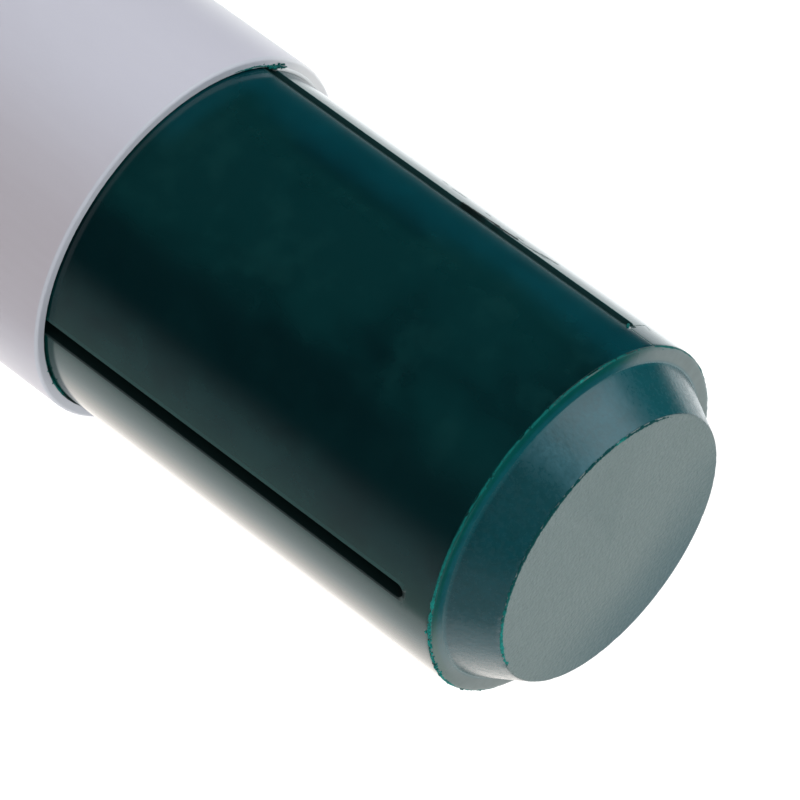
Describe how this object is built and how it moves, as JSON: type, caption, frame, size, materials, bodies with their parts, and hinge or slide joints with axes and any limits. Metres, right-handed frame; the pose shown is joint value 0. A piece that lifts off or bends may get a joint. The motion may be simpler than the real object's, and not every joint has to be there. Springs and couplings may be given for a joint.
{
  "type": "livestock marking crayon",
  "caption": "Twist-up wax marking stick in a pale plastic barrel, wound out by a fluted knob at its foot, with a stepped disc tip and guide grooves.",
  "frame": {"origin": "middle of the knob's flat foot, on the surface that the crayon stands on", "axes": "+Z along the stick, from the knob to the marking tip; one guide groove faces +Y"},
  "size_m": [0.032, 0.032, 0.1486],
  "materials": {
    "barrel_plastic": "pale lilac-grey moulded polypropylene, satin",
    "knob_plastic": "the same plastic as the barrel, satin",
    "carrier_plastic": "natural white moulded plastic",
    "green_wax": "dark blue-green marking wax, glossy on its cast side and matte on its disc"
  },
  "bodies": {
    "barrel": {"barrel": "barrel_plastic"},
    "knob": {"twist_knob": "knob_plastic"},
    "wax": {"carrier": "carrier_plastic", "crayon": "green_wax"}
  },
  "joints": [
    {"name": "wax_slide", "type": "slide", "parent": "barrel", "child": "wax", "axis": [0, 0, 1], "range_m": [-0.045, 0.021]},
    {"name": "knob_turn", "type": "hinge", "parent": "barrel", "child": "knob", "pos_m": [0, 0, 0], "axis": [0, 0, 1], "range_deg": [-2025, 945]}
  ],
  "couplings": [
    {"joint": "knob_turn", "follows": "wax_slide", "rad_per_m": 785.4}
  ]
}
